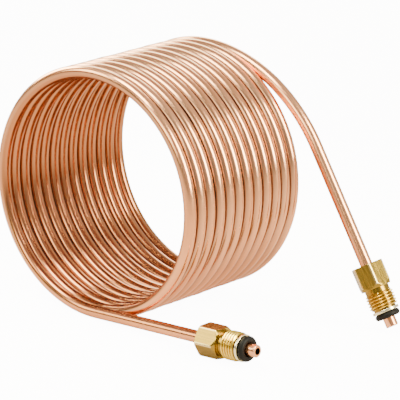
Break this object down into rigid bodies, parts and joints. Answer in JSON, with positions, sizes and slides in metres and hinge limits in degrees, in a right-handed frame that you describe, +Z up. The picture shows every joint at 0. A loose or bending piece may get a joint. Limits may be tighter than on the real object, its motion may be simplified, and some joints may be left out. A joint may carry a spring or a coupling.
{
  "type": "copper tube coil",
  "caption": "Coil of copper tube lying on its side, its two ends run out as tails with brass hexagon tube nuts, male threads and rubber sealing rings.",
  "frame": {"origin": "middle of the part's outline on the floor it lies on", "axes": "+Z up, +Y along the coil axis from the near tail to the far tail, +X the way both tails run out"},
  "size_m": [0.181, 0.1008, 0.123],
  "materials": {
    "copper": "bright drawn copper",
    "brass": "turned, bright",
    "rubber": "matt black"
  },
  "bodies": {
    "root": {"copper_tube": "copper", "near_nut": "brass", "far_nut": "brass", "near_ring": "rubber", "far_ring": "rubber"}
  },
  "joints": []
}
